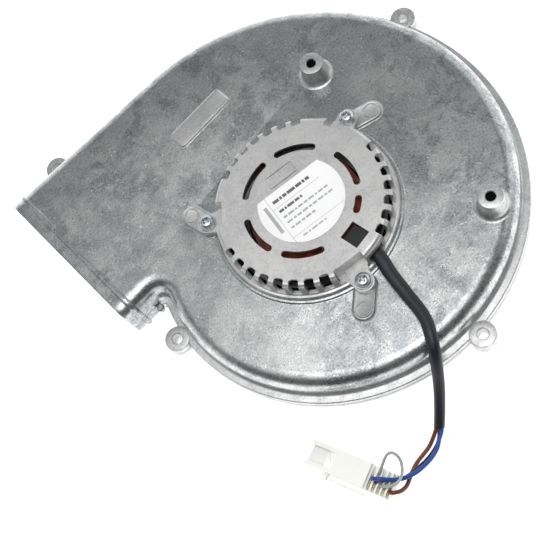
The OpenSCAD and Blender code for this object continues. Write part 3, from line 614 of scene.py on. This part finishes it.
def duct_bead(z0, z1):
    """The bead round the outlet collar, between two heights."""
    section = [(-2.0, -0.4), (-1.75, 0.04), (-1.45, 0.14), (-1.2, 0.5), (-1.0, 0.95),
               (-0.65, 1.12), (0.65, 1.12), (1.0, 0.95), (1.2, 0.5), (1.45, 0.14), (1.75, 0.04),
               (2.0, -0.4)]
    near, far = NEAR_Y, far_wall(BEAD_X)
    path = [(near, z, -1.0, 0.0) for z in span(FLOOR_Z + SHOULDER, FACE_Z - SHOULDER, 8)]
    path += [(near + SHOULDER - SHOULDER * c, FACE_Z - SHOULDER + SHOULDER * s, -c, s)
             for c, s in (polar(1, a) for a in span(0, 90, 12))]
    path += [(y, FACE_Z, 0.0, 1.0) for y in span(near + SHOULDER + 2, far - SHOULDER - 2, 10)]
    path += [(far - SHOULDER + SHOULDER * c, FACE_Z - SHOULDER + SHOULDER * s, c, s)
             for c, s in (polar(1, a) for a in span(90, 0, 12))]
    path += [(far, z, 1.0, 0.0) for z in span(FACE_Z - SHOULDER, FLOOR_Z + SHOULDER, 8)]
    path += [(far - SHOULDER + SHOULDER * c, FLOOR_Z + SHOULDER + SHOULDER * s, c, s)
             for c, s in (polar(1, a) for a in span(0, -90, 12))]
    path += [(y, FLOOR_Z, 0.0, -1.0) for y in span(far - SHOULDER - 2, near + SHOULDER + 2, 10)]
    path += [(near + SHOULDER - SHOULDER * c, FLOOR_Z + SHOULDER - SHOULDER * s, -c, -s)
             for c, s in (polar(1, a) for a in span(90, 0, 12))]
    kept = [p for p in path if z0 <= p[1] <= z1]
    if z0 < PARTING_Z:
        start = next(k for k, p in enumerate(kept) if p[0] > FAR_SIDE_Y and p[1] < PARTING_Z)
        kept = kept[start:] + kept[:start]
        ends = ((far, z1, 1.0, 0.0), (near, z1, -1.0, 0.0))
    else:
        ends = ((near, z0, -1.0, 0.0), (far, z0, 1.0, 0.0))
    kept = [ends[0], *kept, ends[1]]
    rows = [[(BEAD_X + x, y + ny * h, z + nz * h) for x, h in section]
            for y, z, ny, nz in kept]
    shape = Shape().grid(rows, closed=True)
    shape.cap(rows[0])
    return shape.cap(rows[-1])


# ---- motor-side half
BOSSES = [(57.0, 51.1), (59.2, -68.5)]
EAR_R, EAR_ANGLE, EAR_PITCH, EARS = 50.5, 19.7, 120, 3
PAD_TURN, PAD_LENGTH = -39.8, 12.5


def ear_angle(k):
    return EAR_ANGLE + EAR_PITCH * k


upper = half_shell(PARTING_Z + 0.25, FACE_Z - SHOULDER, 1, COVER_LIP_R)
rim = flange(PARTING_Z + 0.25, 21.0, True).join(lugs(PARTING_Z + 0.1, 21.4))
finish_piece(rim.build("upper_flange", RIM, 30.0), "housing", "cast_aluminium")
upper.join(duct_bead(PARTING_Z + 0.3, 60))
upper.revolve([(COVER_LIP_R, 34.0), (49.0, 34.08), (48.65, 34.35), (48.5, 34.65), (48.2, 34.8),
               (47.3, 34.8), (47.05, 34.55), (46.75, 34.5), (46.4, 34.55), (46.2, 34.8),
               (41.3, 34.8), (41.0, 34.5), (41.0, 31.5), (COVER_LIP_R, 31.5)], n=128,
              looped=False)
bosses = Shape()
for bx, by in BOSSES:
    bosses.revolve([(0.3, 34.2), (2.45, 34.2), (2.5, 44.8), (2.85, 45.2), (5.6, 45.2),
                   (6.05, 45.05), (6.2, 44.6), (6.75, 37.6), (7.0, 36.2), (7.5, 35.0),
                   (8.3, 34.25), (9.3, 34.0), (9.3, 33.8), (0.3, 33.8)], (bx, by), 64)
finish_piece(bosses.build("tall_bosses", RIM, 30.0), "housing", "cast_aluminium")
# A thin dark liner stands for the shadow inside each bore.
bores = Shape()
for bx, by in BOSSES:
    bores.revolve([(0.0, 34.25), (2.4, 34.25), (2.46, 44.3), (2.38, 44.4), (2.3, 34.6),
                   (0.0, 34.6)], (bx, by), 48)
finish_piece(bores.build("boss_bores", BORE, 30.0), "housing", "cast_aluminium")
pads = Shape()
for k in range(EARS):
    at_ear = turned(ear_angle(k), EAR_R)
    pad = Shape()
    levels = ((6.3, 33.85), (6.0, 34.02), (5.45, 34.3), (5.15, 34.9), (4.95, 35.2), (4.6, 35.3),
              (4.25, 35.2))
    pad.loft([[(x, y, z) for x, y in racetrack(PAD_LENGTH, r, 20)] for r, z in levels])
    pad.revolve([(2.9, 35.15), (3.2, 35.24), (3.45, 35.45), (3.8, 35.45), (4.05, 35.24),
                 (4.2, 35.15)], (PAD_LENGTH, 0.0), 40)
    pads.join(pad.moved(at_ear @ turned(PAD_TURN)))
    upper.join(Shape().revolve([(2.0, 34), (4.2, 34), (4.2, 27.6), (2.0, 27.6)], n=32)
               .moved(at_ear))
casing_upper = upper.build("casing_upper", CAST, 30.0)
finish_piece(casing_upper, "housing", "cast_aluminium", "volute_casing")
PLATE_EDGE = [(0.9, 33.9), (0.7, 34.02), (0.25, 34.25), (0.05, 34.6), (-0.15, 34.8),
              (-0.6, 34.9)]
plate = Shape().loft([[(0.1 + x, 83.0 + y, z) for x, y in
                       rounded_box(35 + 2 * g, 11 + 2 * g, 2.0 + g)] for g, z in PLATE_EDGE])
finish_piece(plate.build("blank_plate", PLATE, 30.0), "housing", "cast_aluminium")
finish_piece(pads.build("ear_pads", PLATE, 30.0), "housing", "cast_aluminium")

# ---- inlet-side half
lower = half_shell(PARTING_Z - 0.25, FLOOR_Z + SHOULDER, -1, INLET_RING_R)
rim = flange(13.0, PARTING_Z - 0.25, False).join(lugs(12.6, PARTING_Z - 0.1))
finish_piece(rim.build("lower_flange", RIM, 30.0), "housing", "cast_aluminium")
lower.join(duct_bead(-60, PARTING_Z - 0.3))
lower.revolve([(INLET_RING_R, FLOOR_Z), (56.4, 3.9), (56.05, 3.5), (56.0, 0.4), (55.6, 0.0),
               (47.9, 0.0), (47.5, 0.4), (47.5, 6.5), (INLET_RING_R, 6.5)], n=128, looped=False)
lower.revolve([(0.2, 13.2), (1.6, 13.2), (2.0, 13.6), (2.0, 16.2), (1.6, 16.6), (0.2, 16.6)],
              (-86.0, 31.5), 24)
casing_lower = lower.build("casing_lower", CAST, 30.0)
finish_piece(casing_lower, "housing", "cast_aluminium", "base_casing")

# ---- seal between the halves
seal = Shape().grid([[(*shifted(c, inset), z) for inset, z in
                      ((0.25, 16.74), (2.3, 16.74), (2.3, 17.26), (0.25, 17.26))]
                     for c in COLUMNS], closed=True)
finish_piece(seal.build("seal_strip", SEAL_CORD), "housing", "black_rubber", "casing_seal")

# ---------------------------------------------------------------- motor cover
COVER_R, COVER_TOP, COVER_BASE, EAR_TOP = 45.0, 47.5, 35.6, 39.6
SLOT_R, SLOT_W = 28.5, 3.5
SLOT_NEAR, SLOT_FAR, SHORT_SLOT_NEAR = 14.2, 51, 39.0
RIM_R = 2.6
COVER_UNDER = 46.1
NOTCH_PITCH, NOTCH_W, NOTCH_IN = 10.2, 4.8, 40.8
CABLE_ANGLE = -83.0


def ring_sector(r0, r1, a0, a1, z0, z1, steps=14):
    """A slot bent round the axis, with half-round ends."""
    mid, half = (r0 + r1) / 2, (r1 - r0) / 2
    outline = [polar(r1, a) for a in span(a0, a1, steps)]
    cx, cy = polar(mid, a1)
    outline += [(cx + x, cy + y) for x, y in
                (polar(half, a1 + b) for b in span(0, 180, 10)[1:-1])]
    outline += [polar(r0, a) for a in span(a1, a0, steps)]
    cx, cy = polar(mid, a0)
    outline += [(cx + x, cy + y) for x, y in
                (polar(half, a0 + b) for b in span(180, 360, 10)[1:-1])]
    return Shape().loft([[(x, y, z) for x, y in outline] for z in (z0, z1)])


cover = Shape()
edge = [(COVER_R - RIM_R + x, COVER_TOP - RIM_R + y)
        for x, y in (polar(RIM_R, a) for a in span(0, 90, 7))]
cover.revolve([(43.0, COVER_BASE), (46.3, COVER_BASE), (46.6, COVER_BASE + 0.3),
               (46.5, COVER_BASE + 0.85), (46.1, COVER_BASE + 1.0), (45.4, COVER_BASE + 1.1),
               (COVER_R, COVER_BASE + 1.6), *edge, (20.0, COVER_TOP), (0.0, COVER_TOP),
               (0.0, COVER_UNDER), (20.0, COVER_UNDER), (43.0, COVER_UNDER)], n=144)
motor_cover = cover.build("motor_cover_cap", BLAST)
corner_block, recess_block, ear_block = Shape(), Shape(), Shape()
for k in range(EARS):
    place = turned(ear_angle(k), EAR_R)
    corner_block.join(block(-12.1, -8.6, 35.9, -6.6, 8.6, 46.4).moved(place))
    recess_block.join(block(-10.1, -7.0, EAR_TOP, 10.0, 7.0, 60.0).moved(place))
    side = [(-7.3, 7.2), (-5.2, 6.1), (-3.0, 5.35), (0.0, 5.2)]
    tip = [polar(5.2, a) for a in span(90, -90, 18)][1:-1]
    ear = [(x, -y) for x, y in side] + [(x, y) for x, y in reversed(tip)] + list(reversed(side))
    ear_block.join(Shape().loft([[(x, y, z) for x, y in ear] for z in (35.25, EAR_TOP)])
                   .moved(place))
cut(motor_cover, corner_block, op="UNION")
cut(motor_cover, recess_block)
ear_block.join(block(44.0, -6.8, 35.8, 48.4, 6.8, 38.7).moved(turned(40.0)))
cut(motor_cover, ear_block, op="UNION")
openings = Shape()
for k in range(EARS):
    e = ear_angle(k)
    first = e + (SHORT_SLOT_NEAR if k == 2 else SLOT_NEAR)
    for a0, a1 in ((first, e + SLOT_FAR), (e - SLOT_FAR, e - SLOT_NEAR)):
        openings.join(ring_sector(SLOT_R - SLOT_W / 2, SLOT_R + SLOT_W / 2, a0, a1, 44, 60))
    openings.join(Shape().revolve([(0.0, 33), (2.3, 33), (2.3, 50), (0.0, 50)], n=32)
                  .moved(turned(e, EAR_R)))
notch_angles = [EAR_ANGLE + a + k * NOTCH_PITCH for a in (60, 180, 300) for k in range(-3, 4)]
notch_angles += [EAR_ANGLE + 180 + k * NOTCH_PITCH for k in (4, 5)]
NOTCH_FLOOR, NOTCH_CORNER = 37.2, 1.3
half_notch = [(NOTCH_IN + NOTCH_CORNER * (1 - c), NOTCH_W / 2 - NOTCH_CORNER * (1 - s))
              for c, s in (polar(1, a) for a in span(0, 90, 6))] + [(52.0, NOTCH_W / 2 + 0.3)]
notch = [(x, -y) for x, y in reversed(half_notch)] + half_notch
for a in notch_angles:
    openings.join(Shape().loft([[(x, y, z) for x, y in notch] for z in (NOTCH_FLOOR, 60)])
                  .moved(turned(a)))
openings.join(block(28.5, -4.9, 44, 38.5, 4.9, 60).moved(turned(CABLE_ANGLE)))
openings.join(block(41.5, -4.9, 36.4, 52, 4.9, 42.4).moved(turned(CABLE_ANGLE)))
cut(motor_cover, openings)
bevel(motor_cover, 0.32, 40.0, 2)
finish_piece(motor_cover, "housing", "blasted_aluminium", "motor_cover")

frame_mark = Shape()
mark_rings = [[(x, y, z) for x, y in rounded_box(6.9 - 2 * g, 16.2 - 2 * g, 0.75 - g, 4)]
              for g, z in ((0.0, 47.4), (0.10, 47.84), (0.24, 47.98), (0.46, 47.98),
                           (0.60, 47.84), (0.70, 47.4))]
frame_mark.grid(mark_rings, closed=True)
mark = frame_mark.moved(turned(80.0, 17.8)).build("cover_mark", BLAST, 25.0)
finish_piece(mark, "housing", "blasted_aluminium")

clamp_at = turned(CABLE_ANGLE)
clamp = block(28.9, -4.6, 41.6, 36.6, 4.6, 44.7).moved(clamp_at).build("clamp_block", BLACK)
cut(clamp, block(33.5, -4.58, 35.85, 38.5, 4.58, 43.8).moved(clamp_at), op="UNION")
cut(clamp, block(32.5, -6.2, 43.5, 37.8, 6.2, 45.45).moved(clamp_at), op="UNION")
cut(clamp, block(33.0, -3.9, 36.6, 40.0, 3.9, 41.55).moved(clamp_at))
bevel(clamp, 0.3, 40.0, 3)
finish_piece(clamp, "housing", "black_plastic", "cable_clamp")

# ---------------------------------------------------------------- label
LABEL_R, LABEL_CUT = 22.0, 12.5
CUT_ANGLE = EAR_ANGLE + 60


def chord_disc(r, d):
    """A disc with a chord cut off at +x, as an outline."""
    a = math.degrees(math.acos(d / r))
    return [polar(r, b) for b in span(a, 360 - a, 90)]


sheet = Shape().loft([[(x, y, z) for x, y in chord_disc(r, LABEL_CUT - (LABEL_R - r))]
                      for r, z in ((22.0, 47.51), (22.0, 47.62), (21.9, 47.66))])
label = sheet.moved(turned(CUT_ANGLE)).build("label_sheet", LABEL, 25.0)
finish_piece(label, "housing", "label_film", "rating_label")
PRINT_Z = 47.66


def print_bar(u0, v0, u1, v1):
    """A thin printed bar; u points to the chord, v to the left of it."""
    return block(min(u0, u1), min(v0, v1), PRINT_Z - 0.05, max(u0, u1), max(v0, v1),
                 PRINT_Z + 0.02)


def dashes(u, v_from, v_to, height, widths, gap=0.7):
    """A row of plain dashes, wide and narrow in turn."""
    shape, v, k = Shape(), v_from, 0
    while v - widths[k % len(widths)] > v_to:
        w = widths[k % len(widths)]
        shape.join(print_bar(u - height / 2, v - w, u + height / 2, v))
        v -= w + gap
        k += 1
    return shape


rules = print_bar(-17.0, 13.9, 12.3, 14.15).join(print_bar(4.0, -13.9, 4.22, 13.9))
rules.join(print_bar(-14.2, -16.6, -13.98, 13.9))
dark_rows = dashes(7.6, 11.8, -12.5, 1.7, (3.4, 1.3, 2.2, 4.6), 0.55)
dark_rows.join(dashes(1.6, 11.8, -5.5, 1.4, (2.6, 1.1, 3.9), 0.55))
pale_rows = dashes(-2.2, 11.8, -16.5, 1.1, (2.1, 3.3, 1.2, 2.7))
pale_rows.join(dashes(-5.6, 11.8, -17.0, 1.1, (3.1, 1.6, 2.4)))
pale_rows.join(dashes(-9.2, 11.8, -3.5, 1.1, (1.8, 3.0)))
pale_rows.join(dashes(-16.2, 9.5, -5.5, 0.9, (2.6, 1.2, 3.4)))
pale_rows.join(print_bar(-8.6, 15.6, 8.2, 17.4))
for print_name, shape, ink in (("label_rules", rules, INK_PALE),
                               ("label_dark_rows", dark_rows, INK),
                               ("label_pale_rows", pale_rows, INK_PALE)):
    finish_piece(shape.moved(turned(CUT_ANGLE)).build(print_name, ink, 25.0), "housing",
                 "label_film")

# ---------------------------------------------------------------- screws and washers
screw_bits = Shape().revolve([(0.0, 29.0), (1.5, 29.0), (2.0, 29.8), (2.0, 40.6), (3.55, 40.6),
                              (3.85, 40.75), (3.9, 41.2), (3.75, 41.9), (3.3, 42.6), (2.5, 43.1),
                              (1.4, 43.3), (0.0, 43.3)], n=48)
one_screw = screw_bits.build("one_screw", ZINC)
for a in (0, 90):
    cut(one_screw, Shape().loft([[(x, y, z) for x, y in ((-w, -h), (w, -h), (w, h), (-w, h))]
                                 for w, h, z in ((1.2, 0.3, 41.5), (2.3, 0.5, 43.8))])
        .moved(turned(a)))
bevel(one_screw, 0.1, 40.0, 1)
washer = Shape().revolve([(2.15, 39.65), (2.15, 40.45), (2.35, 40.6), (4.3, 40.6), (4.5, 40.4),
                          (4.5, 39.75), (4.3, 39.6), (2.3, 39.6)], n=56)
screws, washers = Shape(), Shape()
for k, twist in enumerate((22.0, 61.0, 8.0)):
    place = turned(ear_angle(k), EAR_R)
    head = Shape()
    head.verts = [tuple(v.co / MM) for v in one_screw.data.vertices]
    head.faces = [tuple(p.vertices) for p in one_screw.data.polygons]
    screws.join(head.moved(place @ turned(twist)))
    washers.join(Shape().join(washer).moved(place))
bpy.data.objects.remove(one_screw)
finish_piece(screws.build("cover_screw_heads", ZINC), "housing", "zinc_steel", "cover_screws")
finish_piece(washers.build("cover_screw_washers", ZINC), "housing", "zinc_steel", "cover_washers")

# ---------------------------------------------------------------- connector
PLUG = Matrix.Translation((-85, -78, 0)) @ turned(-69.3)
PITCH, CHAMBER_W = 2.55, 1.75
CHAMBERS, FIRST_CHAMBER_X = 5, 31.9
plug = block(0, -6.3, 0, 31, 6.3, 11).moved(PLUG).build("plug_body", WHITE)
cut(plug, block(30, -6.28, 0.02, 44, 6.28, 8).moved(PLUG), op="UNION")
cut(plug, block(10, -9.3, 3, 12.2, -6.1, 7).moved(PLUG), op="UNION")
cut(plug, block(-1, -4, 7.0, 9, 4, 15).moved(PLUG))
cut(plug, block(8.9, -4, 9.2, 13.5, 4, 15).moved(PLUG))
cut(plug, block(-1, -3.2, 2.6, 8, 3.2, 5.2).moved(PLUG))
chambers = Shape()
for k in range(CHAMBERS):
    x = FIRST_CHAMBER_X + k * PITCH
    chambers.join(block(x, -7.4, 3.4, x + CHAMBER_W, 7.4, 14).moved(PLUG))
cut(plug, chambers)
bevel(plug, 0.28, 40.0, 2)
finish_piece(plug, "housing", "white_nylon", "connector_housing")
# A greyer skin on the window's floor: painted shade in the recess.
window_shade_floor = block(0.5, -3.95, 6.6, 8.95, 3.95, 7.05).moved(PLUG)
finish_piece(window_shade_floor.build("window_shade_floor", WHITE_SHADED), "housing", "white_nylon")
arm = block(12.3, -9.3, 3.4, 32.2, -7.8, 6.6).moved(PLUG).build("plug_latch", WHITE)
cut(arm, block(17, -10.3, 4.4, 26, -7, 5.6).moved(PLUG))
bevel(arm, 0.2, 40.0, 2)
finish_piece(arm, "latch", "white_nylon", "connector_latch")

# ---------------------------------------------------------------- cords: the loop below does nothing
for wire_name, (wire, wire_path, d) in wires.items():
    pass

# ---------------------------------------------------------------- stage and light
floor = Shape().cap([(-3000, -3000, -0.05), (3000, -3000, -0.05), (3000, 3000, -0.05),
                     (-3000, 3000, -0.05)]).build("floor", WHITE)
n = Nodes("floor_white", Base_Color=(0.9, 0.9, 0.9), Roughness=0.9)
n.set("Emission Color", (1.0, 1.0, 1.0))
n.set("Emission Strength", 0.75)
floor.data.materials[0] = n.mat

world = bpy.data.worlds.new("studio")
scene.world = world
world.use_nodes = True
tree = world.node_tree
tree.nodes.clear()


def wnode(kind, inputs=(), **props):
    node = tree.nodes.new(kind)
    for key, value in props.items():
        setattr(node, key, value)
    for key, value in inputs:
        if isinstance(value, bpy.types.NodeSocket):
            tree.links.new(value, node.inputs[key])
        else:
            node.inputs[key].default_value = value
    return node


def sky_curve(value, stops):
    ramp = wnode("ShaderNodeValToRGB", [("Fac", value)])
    ramp.color_ramp.interpolation = "B_SPLINE"
    while len(ramp.color_ramp.elements) < len(stops):
        ramp.color_ramp.elements.new(0.5)
    for e, (pos, level, warmth) in zip(ramp.color_ramp.elements, stops):
        e.position = pos
        e.color = (level * (1 + warmth), level, level * (1 - warmth), 1.0)
    return ramp.outputs["Color"]


direction = wnode("ShaderNodeTexCoord").outputs["Generated"]
height = wnode("ShaderNodeVectorMath", [(0, direction), (1, (-0.235, -0.02, 0.972))],
               operation="DOT_PRODUCT").outputs["Value"]
to_dark = wnode("ShaderNodeVectorMath", [(0, direction), (1, (-0.42, -0.91, 0.0))],
                operation="DOT_PRODUCT").outputs["Value"]
# Each stop is height, brightness and warmth.
BRIGHT_STOPS = [(0.0, 1.25, 0.0), (0.42, 0.92, -0.02), (0.62, 0.08, -0.05),
                (0.77, 0.03, -0.05), (0.84, 0.74, 0.0), (1.0, 1.12, 0.01)]
DARK_STOPS = [(0.0, 0.35, -0.02), (0.20, 0.03, -0.05), (0.84, 0.005, -0.05),
              (0.94, 0.60, 0.0), (1.0, 0.90, 0.01)]
bright_side = sky_curve(height, BRIGHT_STOPS)
dark_side = sky_curve(height, DARK_STOPS)
side = wnode("ShaderNodeMapRange", [("Value", to_dark), ("From Min", 0.0), ("From Max", 0.35)],
             interpolation_type="SMOOTHSTEP").outputs["Result"]
sky = wnode("ShaderNodeMix", [(0, side), (6, bright_side), (7, dark_side)], data_type="RGBA")
seen = wnode("ShaderNodeLightPath").outputs["Is Camera Ray"]
shown = wnode("ShaderNodeMix", [(0, seen), (6, sky.outputs[2]), (7, (0.93, 0.93, 0.93, 1.0))],
              data_type="RGBA")
background = wnode("ShaderNodeBackground", [("Color", shown.outputs[2]), ("Strength", 1.0)])
output = wnode("ShaderNodeOutputWorld", [("Surface", background.outputs[0])])


def softbox(name, at, towards, size, power):
    data = bpy.data.lights.new(name, "AREA")
    data.shape, data.size, data.energy = "SQUARE", size, power
    light = bpy.data.objects.new(name, data)
    light.location = at
    light.rotation_euler = (Vector(towards) - Vector(at)).to_track_quat("-Z", "Y").to_euler()
    scene.collection.objects.link(light)
    return light


softbox("softbox_top", (-0.05, -0.16, 1.1), (0.0, 0.0, 0.0), 0.7, 3.0)
softbox("softbox_side", (0.9, -0.5, 0.7), (0.0, 0.0, 0.02), 0.4, 0.3)
fill = softbox("fill_top", (0.0, 0.0, 1.3), (0.0, 0.0, 0.0), 1.2, 6.5)
fill.visible_glossy = False
scene.view_settings.view_transform = "Standard"
